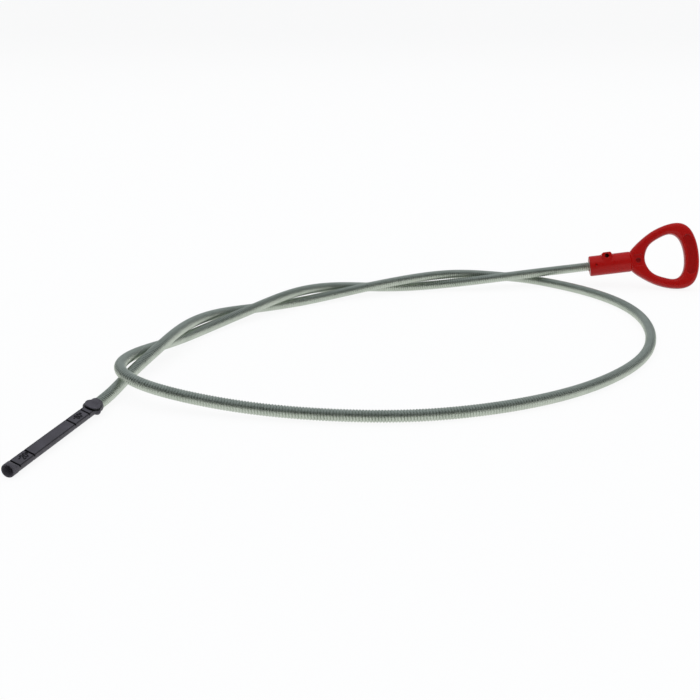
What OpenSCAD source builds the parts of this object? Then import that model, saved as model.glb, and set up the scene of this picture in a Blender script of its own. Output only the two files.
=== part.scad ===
// Flexible dipstick: a moulded pull handle, a long close-wound steel shaft and a moulded measuring tip.
// Millimetres, +Z up. The part lies loosely coiled on the plane z = 0, as it does on a bench.

/* [Shaft] */
// Outer diameter of the close-wound steel shaft
shaft_d = 5.2; // [4.6:0.1:5.3]
// Clearance round the shaft in the sockets of the handle and the tip
socket_gap = 0.1; // [0.05:0.05:0.25]
// Clearance between the ends of the shaft and the floors of its sockets
end_gap = 0.1; // [0.05:0.05:0.3]

/* [Handle collar] */
// Outer diameter of the round collar that grips the shaft
collar_d = 11.8; // [11.4:0.2:13]
// Length of the collar, from its mouth to the shoulder of the ring
collar_len = 23; // [20:1:28]
// Depth of the shaft's socket, from the mouth
handle_socket = 16; // [14:1:18]
// Chamfer round the mouth of the collar
mouth_chamfer = 0.8; // [0.2:0.1:1.2]
// Length of the cone that steps the collar down to the flat of the ring
shoulder_len = 1.4; // [0.8:0.2:2.4]
// Diameter of the round dimple beside the mouth
dimple_d = 1.3; // [0.9:0.1:1.8]
// Depth of the dimple
dimple_depth = 0.9; // [0.4:0.1:1.5]
// Distance of the dimple from the mouth
dimple_at = 3.6; // [3:0.2:5]

/* [Pin lug] */
// Diameter of the blind pin hole in the lug's end
pin_hole = 2.4; // [1.6:0.1:2.6]
// Depth of the pin hole
pin_depth = 5; // [3:0.5:8]
// Outer diameter of the round lug on top of the collar
lug_d = 6; // [5.6:0.2:7]
// Height of the lug's flat top above the middle of the hole
lug_top = 2.1; // [1.9:0.1:2.8]
// Length of the lug, across the collar
lug_len = 11; // [10.6:0.2:12]
// Distance of the lug from the mouth
lug_at = 10.2; // [8:0.2:12]
// Wall left between the socket and the pin hole
lug_wall = 0.8; // [0.6:0.1:1]

/* [Pull ring] */
// Thickness of the ring, across its plane
ring_thick = 8; // [6:0.5:9]
// Stretch of the ring along the handle's axis, 1 as moulded
ring_stretch = 1; // [0.9:0.05:1.2]
// Stretch of the ring across the handle's axis, 1 as moulded
ring_spread = 1; // [0.9:0.05:1.2]
// Squareness of the ring's section: 2 is oval, more is flatter
ring_square = 3; // [2.4:0.2:4]
// Width of the curved panel sunk in both faces of the ring's end bar
panel_w = 4.6; // [3:0.2:5]
// Half of the angle that the panel covers
panel_angle = 20; // [12:1:24]
// Depth of the sunk panels
panel_depth = 0.5; // [0.3:0.1:0.8]
// Width of the plain panel sunk in both faces at the ring's root, across the handle's axis
root_w = 6.4; // [4:0.2:8]
// Length of the root panel along the handle's axis
root_len = 4.2; // [3:0.2:4.8]

/* [Measuring tip] */
// Diameter of the tip's round rod
tip_d = 5.4; // [5:0.1:6]
// Length of the tip, from its open end to the rim round the shaft
tip_len = 61.7; // [60:0.1:70]
// Distance between the two flats that carry the marks
flat_gap = 2.9; // [2.6:0.1:3.6]
// Diameter of the blade between the end and the knuckle
blade_d = 5.2; // [4.8:0.1:5.8]
// Diameter of the funnel's mouth in the open end
funnel_d = 4.4; // [3:0.1:4.6]
// Diameter of the funnel's floor
funnel_floor_d = 2; // [1.2:0.1:2.2]
// Depth of the funnel
funnel_len = 3; // [1.6:0.2:3.2]
// Length of plain round rod at the open end, before the ramps down to the flats
round_end = 0.8; // [0.4:0.1:1.6]
// Width of each level mark's groove
mark_w = 0.7; // [0.4:0.1:1]
// Depth of each level mark's groove
mark_depth = 0.5; // [0.2:0.05:0.6]

/* [Tip knuckle] */
// Diameter of the round button on the knuckle
button_d = 6.4; // [5.8:0.2:7]
// Height of the button's face above the tip's axis
button_h = 2.4; // [2:0.1:3.2]
// Distance from the knuckle's middle to the rim's back
knuckle_back = 4.2; // [4:0.1:6]
// Reach of the two side ears from the tip's axis
ear_reach = 4; // [3.6:0.1:4.6]
// Diameter of the ears
ear_d = 3; // [2.4:0.2:3.4]
// Wall of the rim round the shaft's seat
rim_wall = 0.4; // [0.3:0.1:0.9]
// Depth of the shaft's seat in the rim
tip_socket = 2.8; // [2.4:0.1:3.2]

/* [Hidden] */
$fn = 48;

socket_d = shaft_d + 2 * socket_gap;
rim_d = socket_d + 2 * rim_wall;
// Height of the pin hole above the collar's axis
pin_z = socket_d / 2 + lug_wall + pin_hole / 2;
// Distance of the knuckle's middle from the tip's open end
knuckle = tip_len - knuckle_back;
// How far a cut runs past the face that it opens
OVERCUT = 1;

// Where the handle lies: the middle of its mouth, and its lean, slope and heading
HANDLE_AT = [101.7, 123.5, 11.1];
HANDLE_TURN = [-20, -8.6, -5.5];

// Where the tip lies: the middle of its open end, and its lean, slope and heading
TIP_AT = [-159.8, -129.8, 2.7];
TIP_TURN = [20, -0.7, 73.5];

// Level marks along the tip, from its open end
MARKS = [4, 13, 41, 51.5];
// Where the flats start: at the near side of the first level mark
flat_from = MARKS[0] - mark_w / 2;

// Upper half of the ring's outer and inner outlines, along and across the handle's axis
RING_FROM = 23;
RING_OUTER = [[22, 0], [22, 5], [32, 13], [40, 17.5], [53, 20.5], [60.5, 15], [63, 0]];
RING_INNER = [[32, 0], [31.5, 1], [34, 8.5], [42, 12], [48, 14], [53, 10], [54.5, 0]];
RING_STEPS = 5;
RING_SIDES = 16;

// Middle line of the end bar's panel: its radius, and how far it lies along the handle's axis
PANEL_R = 27;
PANEL_X = 58.1;
// Where the root panel starts along the handle's axis
ROOT_X = 25.6;

// Shaft's route between the sockets, lying on the bench with one strand twisted round the other
SHAFT_ROUTE = [
    [64, 118, 8], [33, 111.5, 5.7], [4.5, 111, 2.6], [-20.5, 107.5, 2.6], [-43, 101.5, 5.5],
    [-67, 79.5, 9.9], [-90, 58, 5.3], [-108, 37.5, 2.9], [-124, 9.5, 3.1], [-136, -19, 8.2],
    [-141, -43, 10.5], [-131, -60, 9.5], [-107, -69, 6], [-75, -77, 3.5], [-40, -81, 2.7],
    [-10, -81, 2.7], [21, -73, 2.7], [49, -60, 2.7], [73, -42, 2.7], [95, -17, 2.7],
    [108, 11, 2.7], [114, 41, 2.7], [112, 70, 2.7], [100, 96, 2.7], [81, 116, 2.7],
    [64.5, 126, 3.2], [43.5, 119.5, 6.8], [19.5, 115.5, 9.4], [-9, 105.5, 8], [-38.5, 96.5, 4.2],
    [-64.5, 79.5, 2.7], [-89, 67.5, 2.5], [-107.5, 49.5, 5.8], [-120, 18, 9.7], [-127, -16, 8.6],
    [-136, -36.5, 4.3]
];
// Length of straight shaft just outside each socket
SHAFT_LEAD = 12;
SHAFT_SIDES = 10;
SHAFT_STEPS = 2;

// A point turned about X, then Y, then Z, and moved to its place
function turned(p, a) =
    let (
        q = [p.x, p.y * cos(a.x) - p.z * sin(a.x), p.y * sin(a.x) + p.z * cos(a.x)],
        r = [q.x * cos(a.y) + q.z * sin(a.y), q.y, q.z * cos(a.y) - q.x * sin(a.y)]
    )
    [r.x * cos(a.z) - r.y * sin(a.z), r.x * sin(a.z) + r.y * cos(a.z), r.z];
function on_handle(x) = HANDLE_AT + turned([x, 0, 0], HANDLE_TURN);
function on_tip(x) = TIP_AT + turned([x, 0, 0], TIP_TURN);

// Smooth curve through four neighbouring control points, at t from 0 to 1
function bend(a, b, c, d, t) =
    (pow(1 - t, 3) * a + (3 * pow(t, 3) - 6 * pow(t, 2) + 4) * b
        + (1 + 3 * t + 3 * pow(t, 2) - 3 * pow(t, 3)) * c + pow(t, 3) * d) / 6;

// Smooth closed curve round a list of control points
function closed_curve(p, steps) =
    let (n = len(p))
    [for (i = [0 : n - 1], j = [0 : steps - 1])
        bend(p[(i + n - 1) % n], p[i], p[(i + 1) % n], p[(i + 2) % n], j / steps)];

// Smooth open curve that starts and ends on the first and last control points
function open_curve(p, steps) =
    let (n = len(p), q = concat([2 * p[0] - p[1]], p, [2 * p[n - 1] - p[n - 2]]))
    concat([for (i = [0 : n - 2], j = [0 : steps - 1]) bend(q[i], q[i + 1], q[i + 2], q[i + 3], j / steps)],
        [p[n - 1]]);

function unit(v) = v / norm(v);
function heading(p, i) = unit(p[min(i + 1, len(p) - 1)] - p[max(i - 1, 0)]);

// Side direction of each ring along a curve, carried from one ring to the next without twist
function carried(p, i, side) =
    let (t = heading(p, i), s = unit(side - (side * t) * t))
    i == len(p) - 1 ? [s] : concat([s], carried(p, i + 1, s));

// Faces of a tube whose rings of points follow each other; a closed tube joins its last ring to its first
function tube_faces(rings, sides, closed) =
    concat(
        [for (i = [0 : rings - (closed ? 1 : 2)], j = [0 : sides - 1])
            let (k = (i + 1) % rings, m = (j + 1) % sides)
            [i * sides + j, i * sides + m, k * sides + m, k * sides + j]],
        closed ? [] : [
            [for (j = [sides - 1 : -1 : 0]) j],
            [for (j = [0 : sides - 1]) (rings - 1) * sides + j]
        ]);

// Round tube of the shaft's diameter along its whole route
module shaft() {
    ends_in = [on_handle(handle_socket - end_gap), on_handle(0), on_handle(-SHAFT_LEAD)];
    ends_out = [on_tip(tip_len + SHAFT_LEAD), on_tip(tip_len - tip_socket + end_gap)];
    line = open_curve(concat(ends_in, SHAFT_ROUTE, ends_out), SHAFT_STEPS);
    sides = carried(line, 0, [0, 0, 1]);
    points = [for (i = [0 : len(line) - 1], j = [0 : SHAFT_SIDES - 1])
        let (a = 360 * j / SHAFT_SIDES, u = sides[i], v = cross(heading(line, i), u))
        line[i] + shaft_d / 2 * (cos(a) * u + sin(a) * v)];
    color("#8f9a98")
        polyhedron(points, tube_faces(len(line), SHAFT_SIDES, false));
}

// Upper half of an outline followed by its mirror image
function both_halves(h) = concat(h, [for (i = [len(h) - 2 : -1 : 1]) [h[i].x, -h[i].y]]);

// A place along the ring, moved to the end of the collar and stretched from there
function ring_x(x) = collar_len + (x - RING_FROM) * ring_stretch;

function ring_outline(h) =
    closed_curve([for (p = both_halves(h)) [ring_x(p.x), p.y * ring_spread]], RING_STEPS);

// Power of a cosine or sine that squares up an oval
function squared(v) = sign(v) * pow(abs(v), 2 / ring_square);

// Finger ring: a squared oval section carried round between the outer and inner outlines
module finger_ring() {
    outer = ring_outline(RING_OUTER);
    inner = ring_outline(RING_INNER);
    points = [for (i = [0 : len(outer) - 1], j = [0 : RING_SIDES - 1])
        let (a = 360 * j / RING_SIDES, mid = (outer[i] + inner[i]) / 2, half = (outer[i] - inner[i]) / 2,
            p = mid + squared(cos(a)) * half)
        [p.x, squared(sin(a)) * ring_thick / 2, p.y]];
    polyhedron(points, tube_faces(len(outer), RING_SIDES, true));
}

// Curved panel sunk in the end bar, and plain panel sunk at the root, on the ring's +Y face
module panel_cuts() {
    floor_y = ring_thick / 2 - panel_depth;
    translate([ring_x(PANEL_X) - PANEL_R, floor_y, 0])
        rotate([-90, 0, 0]) {
            rotate([0, 0, -panel_angle])
                rotate_extrude(angle = 2 * panel_angle)
                    translate([PANEL_R - panel_w / 2, 0])
                        square([panel_w, ring_thick]);
            for (side = [-1, 1])
                rotate([0, 0, side * panel_angle])
                    translate([PANEL_R, 0, 0])
                        cylinder(h = ring_thick, d = panel_w);
        }
    translate([ring_x(ROOT_X), floor_y, -root_w / 2])
        cube([root_len, ring_thick, root_w]);
}

// Pull handle in its own place: axis along X from the mouth, ring upright in the XZ plane
module handle_moulding() {
    difference() {
        union() {
            rotate([0, 90, 0])
                rotate_extrude()
                    polygon([
                        [0, 0], [collar_d / 2 - mouth_chamfer, 0], [collar_d / 2, mouth_chamfer],
                        [collar_d / 2, collar_len], [ring_thick / 2, collar_len + shoulder_len],
                        [0, collar_len + shoulder_len]
                    ]);
            translate([lug_at, 0, pin_z])
                difference() {
                    rotate([90, 0, 0])
                        cylinder(h = lug_len, d = lug_d, center = true);
                    translate([-lug_d / 2, -lug_len, lug_top])
                        cube([lug_d, 2 * lug_len, lug_d]);
                }
            difference() {
                finger_ring();
                for (side = [0, 1])
                    mirror([0, side, 0])
                        panel_cuts();
            }
        }
        translate([-OVERCUT, 0, 0])
            rotate([0, 90, 0])
                cylinder(h = handle_socket + OVERCUT, d = socket_d);
        translate([lug_at, pin_depth - lug_len / 2, pin_z])
            rotate([90, 0, 0])
                cylinder(h = pin_depth + OVERCUT, d = pin_hole);
        translate([dimple_at, -collar_d / 2, 0])
            rotate([90, 0, 0])
                cylinder(h = 2 * dimple_depth, d = dimple_d, center = true);
    }
}

module handle() {
    color("#b3201c")
        translate(HANDLE_AT)
            rotate(HANDLE_TURN)
                handle_moulding();
}

// Cut for the flat on the +Z side: a ramp at the open end, then level as far as the knuckle
module flat_cut() {
    rotate([90, 0, 0])
        linear_extrude(2 * tip_d, center = true)
            polygon([
                [round_end, tip_d / 2], [flat_from, flat_gap / 2], [knuckle, flat_gap / 2],
                [knuckle, tip_d], [round_end, tip_d]
            ]);
}

// Rod of the tip: a round end, then the thinner blade with its two flats and its level marks
module blade() {
    difference() {
        rotate([0, 90, 0]) {
            cylinder(h = tip_len - tip_socket, d = blade_d);
            cylinder(h = flat_from, d = tip_d);
        }
        for (side = [0, 1])
            mirror([0, 0, side]) {
                flat_cut();
                for (x = MARKS)
                    translate([x, 0, flat_gap / 2])
                        cube([mark_w, 2 * tip_d, 2 * mark_depth], center = true);
            }
    }
}

// Knuckle: a round button on the +Z side, two ears, and a cone that widens to the rim round the seat
module knuckle_and_rim() {
    translate([knuckle, 0, 0]) {
        cylinder(h = button_h, d = button_d);
        rotate([90, 0, 0])
            cylinder(h = 2 * ear_reach - ear_d, d = ear_d, center = true);
        for (side = [-1, 1])
            translate([0, side * (ear_reach - ear_d / 2), 0])
                sphere(d = ear_d);
    }
    rotate([0, 90, 0])
        rotate_extrude()
            polygon([
                [0, knuckle], [button_h, knuckle], [rim_d / 2, tip_len - tip_socket],
                [rim_d / 2, tip_len], [0, tip_len]
            ]);
}

// Measuring tip in its own place: axis along X from the open end, flats facing up and down
module tip_moulding() {
    difference() {
        union() {
            blade();
            knuckle_and_rim();
        }
        translate([tip_len - tip_socket, 0, 0])
            rotate([0, 90, 0])
                cylinder(h = tip_socket + OVERCUT, d = socket_d);
        rotate([0, 90, 0])
            rotate_extrude()
                polygon([
                    [0, -OVERCUT], [funnel_d / 2, -OVERCUT], [funnel_d / 2, 0],
                    [funnel_floor_d / 2, funnel_len], [0, funnel_len]
                ]);
    }
}

module tip() {
    color("#4b4652")
        translate(TIP_AT)
            rotate(TIP_TURN)
                tip_moulding();
}

handle();
shaft();
tip();
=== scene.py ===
# Flexible dipstick: its close-wound shaft, moulded handle and measuring tip, on a plain white ground.
import math

import bpy
import numpy as np
from mathutils import Matrix, Vector


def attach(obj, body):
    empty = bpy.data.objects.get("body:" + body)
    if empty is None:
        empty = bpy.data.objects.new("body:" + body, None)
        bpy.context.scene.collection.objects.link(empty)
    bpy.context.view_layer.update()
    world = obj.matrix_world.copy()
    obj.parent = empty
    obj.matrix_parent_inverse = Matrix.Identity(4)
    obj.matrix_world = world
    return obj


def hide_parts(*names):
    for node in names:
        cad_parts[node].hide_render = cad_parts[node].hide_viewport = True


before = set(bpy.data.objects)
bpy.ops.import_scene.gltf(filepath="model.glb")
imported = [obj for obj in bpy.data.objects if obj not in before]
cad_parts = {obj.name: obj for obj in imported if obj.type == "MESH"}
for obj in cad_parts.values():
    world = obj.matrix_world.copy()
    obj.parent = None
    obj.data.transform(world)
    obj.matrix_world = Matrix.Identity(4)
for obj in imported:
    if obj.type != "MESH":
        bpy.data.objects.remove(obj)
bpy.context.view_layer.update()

bpy.context.scene.view_settings.view_transform = "Standard"

MM = 0.001

# Where the handle and the tip lie: a point on the axis in mm, and lean, slope and heading in degrees
HANDLE_AT = (101.7, 123.5, 11.1)
HANDLE_TURN = (-20, -8.6, -5.5)
TIP_AT = (-159.8, -129.8, 2.7)
TIP_TURN = (20, -0.7, 73.5)

# Shaft, in millimetres
SHAFT_D = 5.2
WIRE_PITCH = 1.27
END_GAP = 0.1
SHAFT_LEAD = 12
SHAFT_ROUTE = [
    (64, 118, 8), (33, 111.5, 5.7), (4.5, 111, 2.6), (-20.5, 107.5, 2.6), (-43, 101.5, 5.5),
    (-67, 79.5, 9.9), (-90, 58, 5.3), (-108, 37.5, 2.9), (-124, 9.5, 3.1), (-136, -19, 8.2),
    (-141, -43, 10.5), (-131, -60, 9.5), (-107, -69, 6), (-75, -77, 3.5), (-40, -81, 2.7),
    (-10, -81, 2.7), (21, -73, 2.7), (49, -60, 2.7), (73, -42, 2.7), (95, -17, 2.7),
    (108, 11, 2.7), (114, 41, 2.7), (112, 70, 2.7), (100, 96, 2.7), (81, 116, 2.7),
    (64.5, 126, 3.2), (43.5, 119.5, 6.8), (19.5, 115.5, 9.4), (-9, 105.5, 8), (-38.5, 96.5, 4.2),
    (-64.5, 79.5, 2.7), (-89, 67.5, 2.5), (-107.5, 49.5, 5.8), (-120, 18, 9.7), (-127, -16, 8.6),
    (-136, -36.5, 4.3),
]
SEAT_R = SHAFT_D / 2 + 0.1

# Handle, in its own millimetres: axis along X from the mouth, ring upright in the XZ plane
COLLAR_R = 5.9
COLLAR_LEN = 23
HANDLE_SOCKET = 16
MOUTH_EDGE = 0.8
SOCKET_EDGE = 0.4
SHOULDER_LEN = 1.4
DIMPLE_R = 0.65
DIMPLE_DEPTH = 0.9
DIMPLE_AT = 3.6
PIN_R = 1.2
PIN_DEPTH = 5
LUG_R = 3
LUG_TOP = 2.1
LUG_LEN = 11
LUG_AT = 10.2
LUG_WALL = 0.8
LUG_EDGE = 0.35
LUG_FILLET = 0.9
HOLE_EDGE = 0.35
PIN_Z = SEAT_R + LUG_WALL + PIN_R
RING_THICK = 8
RING_SQUARE = 3
RING_FILLET = 0.8
RING_OUTER = [(22, 0), (22, 5), (32, 13), (40, 17.5), (53, 20.5), (60.5, 15), (63, 0)]
RING_INNER = [(32, 0), (31.5, 1), (34, 8.5), (42, 12), (48, 14), (53, 10), (54.5, 0)]
PANEL_R = 27
PANEL_X = 58.1
PANEL_W = 4.6
PANEL_ANGLE = 20
PANEL_DEPTH = 0.5
PANEL_EDGE = 0.3
ROOT_X = 25.6
ROOT_LEN = 4.2
ROOT_W = 6.4
PIT_R = 1.1
PIT_DEPTH = 1.1
HANDLE_BOX = (-0.7, -6.3, -20.3), (63.4, 6.3, 20.3)
HANDLE_GRID = 0.3

# Painted shade in the sunk curved panel and the pit: how strong it is, and the width that it fades out over
PANEL_SHADE = 0.4
PANEL_FADE = 0.3
PIT_SHADE = 0.8
PIT_FADE = 0.9

# Tip, in its own millimetres: axis along X from the open end, flats facing up and down
TIP_LEN = 61.7
TIP_R = 2.7
BLADE_R = 2.6
FLAT_Z = 1.45
ROUND_END = 0.8
END_EDGE = 0.3
FLAT_EDGE = 0.2
SEAM_HEIGHT = 0.07
SEAM_W = 0.16
MARKS = (4, 13, 41, 51.5)
MARK_W = 0.7
MARK_DEPTH = 0.5
FLAT_FROM = MARKS[0] - MARK_W / 2
FLAT_HALF_W = math.sqrt(BLADE_R ** 2 - FLAT_Z ** 2)
EDGE_GROOVE_R = 0.08
MARK_EDGE = 0.12
FUNNEL_R = 2.2
FUNNEL_FLOOR_R = 1
FUNNEL_LEN = 3
FUNNEL_EDGE = 0.25
KNUCKLE = TIP_LEN - 4.2
BUTTON_R = 3.2
BUTTON_Z = 2.4
BUTTON_EDGE = 0.25
BUTTON_FILLET = 0.15
UNDERCUT_BELOW = 0.95
UNDERCUT_R = 0.4
UNDERCUT_EDGE = 0.1
EAR_REACH = 4
EAR_R = 1.5
EAR_FILLET = 0.4
RIM_R = SEAT_R + 0.4
RIM_EDGE = 0.25
RIM_FILLET = 0.3
TIP_SOCKET = 2.8
SEAT_EDGE = 0.2
TIP_BOX = (-0.5, -4.5, -3.5), (TIP_LEN + 0.5, 4.5, 3.5)
TIP_GRID = 0.15

# Painted shade in and beside the grooves, the undercut and the numerals, standing in for their shadow: its
# width, and how strong it is in the numerals
PAINTED_SHADE_W = 0.28
NUMERAL_PAINTED_SHADE_W = 0.15
NUMERAL_SHADE = 0.75


# Placing

def turn_matrix(turn):
    """Rotation about X, then Y, then Z."""
    x, y, z = (Matrix.Rotation(math.radians(a), 3, axis) for a, axis in zip(turn, "XYZ"))
    return z @ y @ x


def place_matrix(at, turn):
    """From a moulding's own frame to the shared one, in metres."""
    return Matrix.Translation(Vector(at) * MM) @ turn_matrix(turn).to_4x4()


HANDLE_PLACE = place_matrix(HANDLE_AT, HANDLE_TURN)
TIP_PLACE = place_matrix(TIP_AT, TIP_TURN)


def on_axis(place, x):
    return np.array(place @ Vector((x * MM, 0, 0)))


# Camera: at the photograph's place, looking along +Y and down

CAMERA_AT = (-0.0391, -0.4481, 0.1596)
CAMERA_TILT = 19.34
FOCAL_PX = 1000
FRAME_PX = 700
SENSOR_MM = 36

camera_data = bpy.data.cameras.new("camera")
camera_data.sensor_width = SENSOR_MM
camera_data.lens = SENSOR_MM * FOCAL_PX / FRAME_PX
camera_data.clip_start = 0.01
camera_data.clip_end = 50
camera = bpy.data.objects.new("camera", camera_data)
camera.location = CAMERA_AT
camera.rotation_euler = (math.radians(90 - CAMERA_TILT), 0, 0)
bpy.context.collection.objects.link(camera)
bpy.context.scene.camera = camera


# Mesh helper

def add_mesh(name, points, faces):
    mesh = bpy.data.meshes.new(name)
    mesh.from_pydata(points, [], faces)
    mesh.update()
    mesh.shade_smooth()
    piece = bpy.data.objects.new(name, mesh)
    bpy.context.collection.objects.link(piece)
    return piece


# Shaft: round wire wound closely along the whole route

TURN_SIDES = 16
WIRE_PROFILE = (0, 0.08, 0.28, 0.5, 0.72, 0.92)
WIRE_FILL = 1.0
LINE_STEP = 0.25


def bend(a, b, c, d, t):
    """Smooth curve through four neighbouring control points, at t from 0 to 1."""
    return ((1 - t) ** 3 * a + (3 * t ** 3 - 6 * t ** 2 + 4) * b
            + (1 + 3 * t + 3 * t ** 2 - 3 * t ** 3) * c + t ** 3 * d) / 6


def spline(points, steps):
    """Smooth curve that starts and ends on the first and last point."""
    p = np.array(points, float)
    p = np.vstack([2 * p[0] - p[1], p, 2 * p[-1] - p[-2]])
    t = np.linspace(0, 1, steps, endpoint=False)[:, None]
    return np.vstack([bend(a, b, c, d, t) for a, b, c, d in zip(p, p[1:], p[2:], p[3:])] + [p[-2:-1]])


def even_line(line, step):
    """The same line with points a step apart, and their distances along it."""
    along = np.concatenate([[0], np.cumsum(np.linalg.norm(np.diff(line, axis=0), axis=1))])
    at = np.linspace(0, along[-1], round(along[-1] / step) + 1)
    return np.stack([np.interp(at, along, line[:, k]) for k in range(3)], 1), at


def carried_frames(line):
    """Two side directions at each point, carried along without twist."""
    tangent = np.gradient(line, axis=0)
    tangent /= np.linalg.norm(tangent, axis=1)[:, None]
    side = np.empty_like(line)
    last = np.array([0.0, 0.0, 1.0])
    for i, t in enumerate(tangent):
        last = last - (last @ t) * t
        last /= np.linalg.norm(last)
        side[i] = last
    return side, np.cross(tangent, side)


def wire_radius(phase):
    """Radius of the shaft's surface at a phase of the winding, where 0 and 1 lie between two turns."""
    wire = WIRE_PITCH * MM / 2
    off = (np.asarray(phase) - 0.5) * WIRE_PITCH * MM
    hollow = wire - np.sqrt(np.maximum(wire ** 2 - off ** 2, 0))
    return SHAFT_D * MM / 2 - WIRE_FILL * hollow


def make_shaft():
    ends_in = [on_axis(HANDLE_PLACE, x) for x in (HANDLE_SOCKET - END_GAP, 0, -SHAFT_LEAD)]
    ends_out = [on_axis(TIP_PLACE, x) for x in (TIP_LEN + SHAFT_LEAD, TIP_LEN - TIP_SOCKET + END_GAP)]
    control = ends_in + [np.array(p) * MM for p in SHAFT_ROUTE] + ends_out
    line, along = even_line(spline(control, 60), LINE_STEP * MM)
    side, across = carried_frames(line)
    pitch = WIRE_PITCH * MM
    per_turn = len(WIRE_PROFILE)
    turns = int(along[-1] / pitch) - 1
    phase = np.tile(WIRE_PROFILE, turns)
    start = (np.repeat(np.arange(turns), per_turn) + phase) * pitch
    column = np.arange(TURN_SIDES)
    at = start[:, None] + pitch * column / TURN_SIDES
    angle = 2 * math.pi * column / TURN_SIDES

    def sample(values):
        return np.stack([np.interp(at, along, values[:, k]) for k in range(3)], -1)

    around = (np.cos(angle)[:, None] * sample(side) + np.sin(angle)[:, None] * sample(across))
    points = sample(line) + wire_radius(phase)[:, None, None] * around
    index = np.arange(at.size).reshape(at.shape)
    strips = np.stack([index[:-1, :-1], index[:-1, 1:], index[1:, 1:], index[1:, :-1]], -1)
    seam = np.stack([index[:-per_turn - 1, -1], index[per_turn:-1, 0],
                     index[per_turn + 1:, 0], index[1:-per_turn, -1]], -1)
    faces = np.vstack([strips.reshape(-1, 4), seam]).tolist()
    points = points.reshape(-1, 3).tolist()
    first = [*index[0], *index[per_turn:0:-1, 0]]
    last = [*index[-1], *index[-2:-per_turn - 2:-1, -1]]
    for loop, middle in ((first, line[0]), (last, line[-1])):
        points.append(list(middle))
        closing = zip(loop, loop[1:] + loop[:1])
        faces += [(int(a), int(b), len(points) - 1) for a, b in closing]
    piece = add_mesh("shaft_winding", points, faces)
    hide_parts("shaft")
    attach(piece, "root")
    return piece


# Mouldings: solids given by a distance in millimetres, negative inside, and meshed on a fine grid

def joined(a, b, fillet):
    """Union of two solids with a fillet between them."""
    near = np.maximum(fillet - np.abs(a - b), 0) / fillet
    return np.minimum(a, b) - near ** 2 * fillet / 4


def cut(a, b, edge):
    """Solid a with b cut out of it, and the edge rounded."""
    return -joined(-a, b, edge)


def rod(along, across, half_len, radius, edge):
    """Round rod, by the distance from its middle along it and from its axis across it."""
    u = np.abs(along) - half_len + edge
    v = across - radius + edge
    return np.hypot(np.maximum(u, 0), np.maximum(v, 0)) + np.minimum(np.maximum(u, v), 0) - edge


def line_distance(points, u, v):
    """Distance to a line of points in a plane."""
    best = np.inf
    for (au, av), (bu, bv) in zip(points, points[1:]):
        du, dv = bu - au, bv - av
        t = np.clip(((u - au) * du + (v - av) * dv) / (du * du + dv * dv), 0, 1)
        best = np.minimum(best, np.hypot(u - au - t * du, v - av - t * dv))
    return best


def outline_distance(points, u, v):
    """Distance to a closed outline in a plane, negative inside it."""
    loop = [*points, points[0]]
    inside = np.zeros(np.broadcast(u, v).shape, bool)
    for (au, av), (bu, bv) in zip(loop, loop[1:]):
        if av != bv:
            inside ^= ((av > v) != (bv > v)) & (u < au + (v - av) * (bu - au) / (bv - av))
    return np.where(inside, -1, 1) * line_distance(loop, u, v)


def grid_mesh(field, low, high, step):
    """Points and quads of a solid's surface, with one point in each grid cell that it passes through."""
    axes = [np.arange(a, b + step, step) for a, b in zip(low, high)]
    values = field(*np.meshgrid(*axes, indexing="ij", sparse=True))
    inside = values < 0
    cells = tuple(n - 1 for n in values.shape)

    def corner(grid, i, j, k):
        return grid[i:i + cells[0], j:j + cells[1], k:k + cells[2]]

    corners = [(i, j, k) for i in (0, 1) for j in (0, 1) for k in (0, 1)]
    count = sum(corner(inside, *c).astype(np.int8) for c in corners)
    used = (count > 0) & (count < 8)
    number = np.full(cells, -1)
    number[used] = np.arange(used.sum())
    at = {c: corner(values, *c)[used] for c in corners}
    total, hits = np.zeros((used.sum(), 3)), np.zeros(used.sum())
    for c in corners:
        for axis in range(3):
            if c[axis] == 0:
                far = tuple(1 if k == axis else c[k] for k in range(3))
                crossed = (at[c] < 0) != (at[far] < 0)
                place = np.tile(np.array(c, float), (crossed.sum(), 1))
                place[:, axis] = at[c][crossed] / (at[c][crossed] - at[far][crossed])
                total[crossed] += place
                hits[crossed] += 1
    points = (np.argwhere(used) + total / hits[:, None]) * step + np.array(low)
    quads = []
    for axis in range(3):
        b, c = np.eye(3, dtype=int)[[(axis + 1) % 3, (axis + 2) % 3]]
        a = np.eye(3, dtype=int)[axis]
        here = tuple(slice(0 if k == axis else 1, n - 1) for k, n in enumerate(values.shape))
        there = tuple(slice(1, n) if k == axis else slice(1, n - 1) for k, n in enumerate(values.shape))
        place = np.argwhere(inside[here] != inside[there]) + 1 - a
        quad = np.stack([number[tuple((place - d).T)] for d in (b + c, c, 0 * a, b)], 1)
        outward = inside[tuple(place.T)]
        quads.append(np.where(outward[:, None], quad, quad[:, ::-1]))
    return points, np.vstack(quads)


def closed_spline(half):
    """Smooth outline round the upper half's control points and their mirror image."""
    p = np.array(half + [(x, -z) for x, z in half[-2:0:-1]], float)
    t = np.linspace(0, 1, 12, endpoint=False)[:, None]
    return np.vstack([bend(p[i - 1], p[i], p[(i + 1) % len(p)], p[(i + 2) % len(p)], t)
                      for i in range(len(p))])


OUTER = closed_spline(RING_OUTER)
INNER = closed_spline(RING_INNER)


def ring_field(x, y, z):
    """Squared oval section between the outer and inner outlines."""
    from_outer = -outline_distance(OUTER, x, z)
    from_inner = outline_distance(INNER, x, z)
    width = np.maximum(from_outer + from_inner, 1)
    across = np.abs(from_inner - from_outer) / width
    deep = np.abs(y) / (RING_THICK / 2)
    round_off = (across ** RING_SQUARE + deep ** RING_SQUARE) ** (1 / RING_SQUARE)
    return (round_off - 1) * RING_THICK / 2


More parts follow.
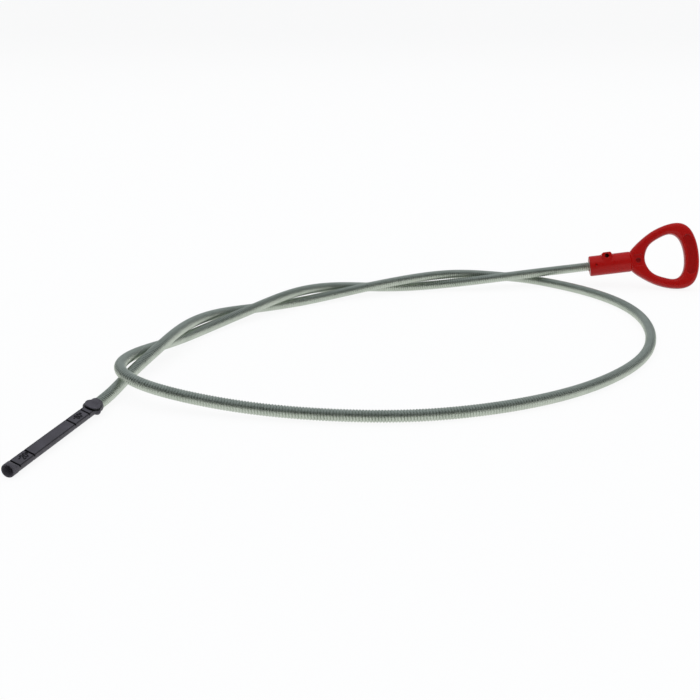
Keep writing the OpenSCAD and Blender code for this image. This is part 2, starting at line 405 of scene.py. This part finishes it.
def panel_fields(x, y, z):
    """Curved panel in the end bar, square one at the ring's root and a pit in it, sunk in both faces."""
    u = x - PANEL_X + PANEL_R
    turn = np.clip(np.arctan2(z, u), -math.radians(PANEL_ANGLE), math.radians(PANEL_ANGLE))
    curved = np.hypot(u - PANEL_R * np.cos(turn), z - PANEL_R * np.sin(turn)) - PANEL_W / 2
    square = np.maximum(np.abs(x - ROOT_X - ROOT_LEN / 2) - ROOT_LEN / 2, np.abs(z) - ROOT_W / 2)
    pit = np.hypot(x - ROOT_X - ROOT_LEN / 2, z) - PIT_R
    below = RING_THICK / 2 - np.abs(y)
    return [np.maximum(curved, below - PANEL_DEPTH), np.maximum(square, below - PANEL_DEPTH),
            np.maximum(pit, below - PIT_DEPTH)]


def handle_field(x, y, z):
    across = np.hypot(y, z)
    collar = rod(x - COLLAR_LEN / 2, across, COLLAR_LEN / 2, COLLAR_R, MOUTH_EDGE)
    narrowing = (COLLAR_R - RING_THICK / 2) / SHOULDER_LEN
    shoulder = (across - COLLAR_R + (x - COLLAR_LEN) * narrowing) / math.hypot(1, narrowing)
    shoulder = np.maximum(shoulder, np.abs(x - COLLAR_LEN) - SHOULDER_LEN)
    collar = np.minimum(collar, np.maximum(shoulder, across - COLLAR_R))
    lug = rod(y, np.hypot(x - LUG_AT, z - PIN_Z), LUG_LEN / 2, LUG_R, LUG_EDGE)
    lug = cut(lug, PIN_Z + LUG_TOP - z, LUG_EDGE)
    ring = cut(ring_field(x, y, z), np.minimum.reduce(panel_fields(x, y, z)), PANEL_EDGE)
    solid = joined(joined(collar, lug, LUG_FILLET), ring, RING_FILLET)
    solid = cut(solid, np.maximum(across - SEAT_R, x - HANDLE_SOCKET), SOCKET_EDGE)
    pin = np.maximum(np.hypot(x - LUG_AT, z - PIN_Z) - PIN_R, y + LUG_LEN / 2 - PIN_DEPTH)
    dimple = np.maximum(np.hypot(x - DIMPLE_AT, z) - DIMPLE_R, y + COLLAR_R - DIMPLE_DEPTH)
    return cut(cut(solid, pin, HOLE_EDGE), dimple, HOLE_EDGE)


# Numerals on the tip: strokes in a box one unit high, and the number and start of each group

STROKE_W = 0.42
STROKE_DEPTH = 0.4
DIGIT_H = 2.2
DIGIT_W = 1.2
DIGIT_GAP = 0.55
NUMERALS = (("20", 8.1), ("80", 45.1))


def arc(u, v, ru, rv, start, end):
    return [(u + ru * math.cos(math.radians(a)), v + rv * math.sin(math.radians(a)))
            for a in np.linspace(start, end, 15)]


GLYPHS = {
    "0": [arc(0.5, 0.5, 0.5, 0.5, 0, 360)],
    "2": [[*arc(0.5, 0.7, 0.45, 0.3, 170, -35), (0.03, 0), (1, 0)]],
    "8": [arc(0.5, 0.76, 0.4, 0.24, 0, 360), arc(0.5, 0.26, 0.5, 0.26, 0, 360)],
}


def numeral_strokes():
    """Strokes of the numerals, along and across the tip, with a tick before and a small ring after each."""
    strokes = []
    for number, start in NUMERALS:
        for i, digit in enumerate(number):
            at = start + i * (DIGIT_W + DIGIT_GAP)
            strokes += [[(at + u * DIGIT_W, (v - 0.5) * DIGIT_H) for u, v in s] for s in GLYPHS[digit]]
        end = start + 2 * DIGIT_W + DIGIT_GAP
        strokes += [[(start - 1.1, 0.3), (start - 0.6, 0.3)], arc(end + 0.9, 0.5, 0.35, 0.35, 0, 360)]
    return strokes


STROKES = numeral_strokes()


def grooves_field(x, y, z):
    """Level grooves across both flats, and a fine one along each edge of them."""
    level = np.min([np.abs(x - m) for m in MARKS], axis=0) - MARK_W / 2
    level = np.maximum(level, FLAT_Z - MARK_DEPTH - np.abs(z))
    edge = np.hypot(np.abs(y) - FLAT_HALF_W, np.abs(z) - FLAT_Z) - EDGE_GROOVE_R
    return np.minimum(level, np.maximum(edge, FLAT_FROM - x))


def numerals_field(x, y, z):
    """Numerals in the upper flat."""
    strokes = np.min([line_distance(s, x, y) for s in STROKES], axis=0) - STROKE_W / 2
    return np.maximum(strokes, FLAT_Z - STROKE_DEPTH - z)


def undercut_field(x, y, z):
    """Fine groove under the button's edge."""
    return np.hypot(np.hypot(x - KNUCKLE, y) - BUTTON_R, z - BUTTON_Z + UNDERCUT_BELOW) - UNDERCUT_R


def tip_field(x, y, z):
    across = np.hypot(y, z)
    radius = np.where(x < FLAT_FROM, TIP_R, BLADE_R)
    blade = rod(x - TIP_LEN / 2, across - radius, TIP_LEN / 2, 0, END_EDGE)
    flat = np.interp(x, (ROUND_END, FLAT_FROM), (TIP_R + 0.2, FLAT_Z))
    blade = cut(blade, flat - np.abs(z), FLAT_EDGE)
    blade = np.maximum(blade, x - KNUCKLE - 1)
    blade = blade - SEAM_HEIGHT * np.exp(-(z / SEAM_W) ** 2) * (x > FLAT_FROM)
    button = rod(z - BUTTON_Z / 2, np.hypot(x - KNUCKLE, y), BUTTON_Z / 2, BUTTON_R, BUTTON_EDGE)
    past_ear = y - np.clip(y, EAR_R - EAR_REACH, EAR_REACH - EAR_R)
    ears = np.hypot(np.hypot(x - KNUCKLE, z), past_ear) - EAR_R
    cone = np.interp(x, (KNUCKLE, TIP_LEN - TIP_SOCKET), (BUTTON_Z, RIM_R))
    half = (TIP_LEN - KNUCKLE) / 2
    rim = rod(x - KNUCKLE - half, across - cone, half, 0, RIM_EDGE)
    solid = joined(joined(blade, ears, EAR_FILLET), rim, RIM_FILLET)
    solid = joined(solid, button, BUTTON_FILLET)
    solid = cut(solid, undercut_field(x, y, z), UNDERCUT_EDGE)
    solid = cut(solid, np.maximum(across - SEAT_R, TIP_LEN - TIP_SOCKET - x), SEAT_EDGE)
    funnel = np.interp(x, (0, FUNNEL_LEN), (FUNNEL_R, FUNNEL_FLOOR_R))
    solid = cut(solid, np.maximum(across - funnel, x - FUNNEL_LEN), FUNNEL_EDGE)
    return cut(solid, np.minimum(grooves_field(x, y, z), numerals_field(x, y, z)), MARK_EDGE)


def moulding(name, node, field, place, low, high, step):
    """Piece that stands for a node, and its points in the moulding's own millimetres."""
    own, quads = grid_mesh(field, low, high, step)
    points = own * MM @ np.array(place.to_3x3()).T + np.array(place.translation)
    piece = add_mesh(name, points.tolist(), quads.tolist())
    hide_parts(node)
    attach(piece, "root")
    return piece, own


def keep_values(piece, name, values):
    """Keeps a value for each point of the mesh, for its material."""
    attribute = piece.data.attributes.new(name, "FLOAT", "POINT")
    attribute.data.foreach_set("value", np.asarray(values, np.float32))


def make_handle():
    piece, own = moulding("handle_moulding", "handle", handle_field, HANDLE_PLACE, *HANDLE_BOX, HANDLE_GRID)
    keep_values(piece, "from_seam", np.abs(own[:, 1]))
    # Painted shade in the sunk curved panel and the pit, kept for the material's colour
    curved, _, pit = panel_fields(*own.T)
    shade = PANEL_SHADE * np.clip(1 - curved / PANEL_FADE, 0, 1)
    keep_values(piece, "sunk", np.maximum(shade, np.clip(PIT_SHADE - pit / PIT_FADE, 0, PIT_SHADE)))
    return piece


def make_tip():
    piece, own = moulding("tip_moulding", "tip", tip_field, TIP_PLACE, *TIP_BOX, TIP_GRID)
    # Painted shade: darker colour in and beside the grooves, the undercut under the button and the numerals
    hollow = np.clip(1 - np.minimum(grooves_field(*own.T), undercut_field(*own.T)) / PAINTED_SHADE_W, 0, 1)
    written = np.clip(1 - numerals_field(*own.T) / NUMERAL_PAINTED_SHADE_W, 0, 1)
    keep_values(piece, "painted_groove_shade", np.maximum(hollow, NUMERAL_SHADE * written))
    return piece


# Materials

def new_material(name, color, metallic=0.0, roughness=0.5):
    material = bpy.data.materials.new(name)
    material.use_nodes = True
    shader = material.node_tree.nodes["Principled BSDF"]
    shader.inputs["Base Color"].default_value = (*color, 1)
    shader.inputs["Metallic"].default_value = metallic
    shader.inputs["Roughness"].default_value = roughness
    return material, shader


def noise(material, scale, detail=3.0, low=0.0, high=1.0):
    """Noise in object space, spread between two values."""
    nodes, links = material.node_tree.nodes, material.node_tree.links
    place = nodes.new("ShaderNodeTexCoord")
    texture = nodes.new("ShaderNodeTexNoise")
    texture.inputs["Scale"].default_value = scale
    texture.inputs["Detail"].default_value = detail
    spread = nodes.new("ShaderNodeMapRange")
    spread.inputs["From Min"].default_value = 0.3
    spread.inputs["From Max"].default_value = 0.7
    spread.inputs["To Min"].default_value = low
    spread.inputs["To Max"].default_value = high
    links.new(place.outputs["Object"], texture.inputs["Vector"])
    links.new(texture.outputs["Fac"], spread.inputs["Value"])
    return spread.outputs["Result"]


def bump(material, shader, height, strength, distance):
    nodes, links = material.node_tree.nodes, material.node_tree.links
    node = nodes.new("ShaderNodeBump")
    node.inputs["Strength"].default_value = strength
    node.inputs["Distance"].default_value = distance
    links.new(height, node.inputs["Height"])
    links.new(node.outputs["Normal"], shader.inputs["Normal"])


def mixed(material, factor, dark, light):
    """Colour that goes from dark to light with a factor; either may be a colour or an output."""
    nodes, links = material.node_tree.nodes, material.node_tree.links
    node = nodes.new("ShaderNodeMix")
    node.data_type = "RGBA"
    for name, value in (("A", dark), ("B", light)):
        if isinstance(value, tuple):
            node.inputs[name].default_value = (*value, 1)
        else:
            links.new(value, node.inputs[name])
    links.new(factor, node.inputs["Factor"])
    return node.outputs["Result"]


def zinc_wire():
    material, shader = new_material("zinc_wire", (0.52, 0.57, 0.5), metallic=1.0, roughness=0.46)
    links = material.node_tree.links
    color = mixed(material, noise(material, 60), (0.48, 0.53, 0.46), (0.56, 0.61, 0.535))
    links.new(color, shader.inputs["Base Color"])
    links.new(noise(material, 220, low=0.4, high=0.52), shader.inputs["Roughness"])
    bump(material, shader, noise(material, 900, detail=4), 0.12, 0.0001)
    return material


def parting_line(material):
    """Height of the fine seam where the mould's halves meet, in the ring's middle plane."""
    nodes, links = material.node_tree.nodes, material.node_tree.links
    distance = nodes.new("ShaderNodeAttribute")
    distance.attribute_name = "from_seam"
    seam = nodes.new("ShaderNodeMapRange")
    seam.interpolation_type = "SMOOTHSTEP"
    seam.inputs["From Min"].default_value = 0.05
    seam.inputs["From Max"].default_value = 0.25
    seam.inputs["To Min"].default_value = 1.0
    seam.inputs["To Max"].default_value = 0.0
    links.new(distance.outputs["Fac"], seam.inputs["Value"])
    return seam.outputs["Result"]


def red_plastic():
    material, shader = new_material("red_plastic", (0.43, 0.002, 0.001), roughness=0.3)
    shader.inputs["Specular IOR Level"].default_value = 0.24
    nodes, links = material.node_tree.nodes, material.node_tree.links
    color = mixed(material, noise(material, 45), (0.41, 0.0015, 0.0005), (0.46, 0.003, 0.001))
    # Painted shade: darker red in the sunk curved panel and the pit
    sunk = nodes.new("ShaderNodeAttribute")
    sunk.attribute_name = "sunk"
    shaded = mixed(material, sunk.outputs["Fac"], color, (0.18, 0.001, 0.0005))
    links.new(shaded, shader.inputs["Base Color"])
    links.new(noise(material, 300, low=0.25, high=0.36), shader.inputs["Roughness"])
    height = nodes.new("ShaderNodeMath")
    height.operation = "MULTIPLY_ADD"
    height.inputs[1].default_value = 0.25
    links.new(noise(material, 1600, detail=4), height.inputs[0])
    links.new(parting_line(material), height.inputs[2])
    bump(material, shader, height.outputs["Value"], 0.5, 0.0001)
    return material


def grey_plastic():
    material, shader = new_material("grey_plastic", (0.055, 0.052, 0.068), roughness=0.55)
    shader.inputs["Specular IOR Level"].default_value = 0.35
    nodes, links = material.node_tree.nodes, material.node_tree.links
    plain = mixed(material, noise(material, 120), (0.054, 0.05, 0.058), (0.079, 0.073, 0.086))
    # Painted shade, near black, in and beside the grooves, the undercut and the numerals
    painted_groove_shade = nodes.new("ShaderNodeAttribute")
    painted_groove_shade.attribute_name = "painted_groove_shade"
    links.new(mixed(material, painted_groove_shade.outputs["Fac"], plain, (0.002, 0.002, 0.003)),
              shader.inputs["Base Color"])
    links.new(noise(material, 400, low=0.48, high=0.62), shader.inputs["Roughness"])
    bump(material, shader, noise(material, 2000, detail=4), 0.2, 0.0001)
    return material


def seen_directly(tree):
    """1 for camera, glossy and transmission rays, 0 for the rest."""
    path = tree.nodes.new("ShaderNodeLightPath")
    seen = path.outputs["Is Camera Ray"]
    for name in ("Is Glossy Ray", "Is Transmission Ray"):
        either = tree.nodes.new("ShaderNodeMath")
        either.operation = "MAXIMUM"
        tree.links.new(seen, either.inputs[0])
        tree.links.new(path.outputs[name], either.inputs[1])
        seen = either.outputs["Value"]
    return seen


FLOOR_GLOW = 0.9


def white_ground():
    """White floor that shows as plain white and keeps a faint shadow."""
    material, shader = new_material("white_ground", (0.93, 0.93, 0.93), roughness=0.9)
    nodes, links = material.node_tree.nodes, material.node_tree.links
    shader.inputs["Specular IOR Level"].default_value = 0.0
    links.new(mixed(material, noise(material, 3), (0.925, 0.925, 0.925), (0.935, 0.935, 0.935)),
              shader.inputs["Base Color"])
    glow = nodes.new("ShaderNodeEmission")
    share = nodes.new("ShaderNodeMath")
    share.operation = "MULTIPLY"
    share.inputs[1].default_value = FLOOR_GLOW
    mix = nodes.new("ShaderNodeMixShader")
    links.new(seen_directly(material.node_tree), share.inputs[0])
    links.new(share.outputs["Value"], mix.inputs["Fac"])
    links.new(shader.outputs["BSDF"], mix.inputs[1])
    links.new(glow.outputs["Emission"], mix.inputs[2])
    links.new(mix.outputs["Shader"], nodes["Material Output"].inputs["Surface"])
    return material


def painted_dark_reflection():
    """Dull dark sheet for a painted dark reflection of the unlit room, a little lighter in places at
    random.
    """
    material, shader = new_material("painted_dark_reflection", (0.06, 0.065, 0.06), roughness=0.95)
    color = mixed(material, noise(material, 4), (0.05, 0.055, 0.05), (0.07, 0.075, 0.07))
    material.node_tree.links.new(color, shader.inputs["Base Color"])
    return material


def dress(piece, material):
    piece.data.materials.clear()
    piece.data.materials.append(material)


# Stage: a round white floor with a raised edge, and a dark sheet behind the camera that shows only in
# reflections, as a painted dark reflection

def make_ground(material):
    flat, curve, sides = 5.0, 1.2, 64
    profile = [(flat, 0.0)] + [(flat + curve * math.sin(a), curve - curve * math.cos(a))
                               for a in np.linspace(0, math.pi / 2, 13)[1:]]
    turn = 2 * math.pi / sides
    points = [(r * math.cos(i * turn), r * math.sin(i * turn), z) for r, z in profile for i in range(sides)]
    faces = [tuple(range(sides))]
    for ring in range(len(profile) - 1):
        for i in range(sides):
            j = (i + 1) % sides
            inner, outer = ring * sides, (ring + 1) * sides
            faces.append((inner + i, outer + i, outer + j, inner + j))
    ground = add_mesh("ground", points, faces)
    dress(ground, material)


def make_painted_dark_reflection(material):
    radius, height, spread = 1.3, 1.9, 80
    angles = np.radians(np.linspace(-90 - spread, -90 + spread, 25))
    points = [(radius * math.cos(a), radius * math.sin(a), z) for a in angles for z in (0.0, height)]
    faces = [(2 * i, 2 * i + 2, 2 * i + 3, 2 * i + 1) for i in range(len(angles) - 1)]
    dark_reflection_sheet = add_mesh("dark_reflection_sheet", points, faces)
    # Shows only in glossy reflections, as a painted dark reflection; it casts no shadow and gives no light
    dark_reflection_sheet.visible_camera = False
    dark_reflection_sheet.visible_diffuse = False
    dark_reflection_sheet.visible_shadow = False
    dress(dark_reflection_sheet, material)


# Light: an even world and a broad soft panel overhead

WORLD_COLOR = (0.87, 0.92, 1)
WORLD_STRENGTH = 0.52
LAMP_WATTS = 38
LAMP_SIDE = 3.6
LAMP_AT = (0, 0.2, 2.0)


def make_light():
    world = bpy.data.worlds.new("studio")
    world.use_nodes = True
    background = world.node_tree.nodes["Background"]
    background.inputs["Color"].default_value = (*WORLD_COLOR, 1)
    background.inputs["Strength"].default_value = WORLD_STRENGTH
    bpy.context.scene.world = world
    data = bpy.data.lights.new("overhead", "AREA")
    data.shape = "RECTANGLE"
    data.size = LAMP_SIDE
    data.size_y = LAMP_SIDE
    data.energy = LAMP_WATTS
    lamp = bpy.data.objects.new("overhead", data)
    lamp.location = LAMP_AT
    lamp.visible_glossy = False
    bpy.context.collection.objects.link(lamp)


dress(make_shaft(), zinc_wire())
dress(make_handle(), red_plastic())
dress(make_tip(), grey_plastic())
make_ground(white_ground())
make_painted_dark_reflection(painted_dark_reflection())
make_light()
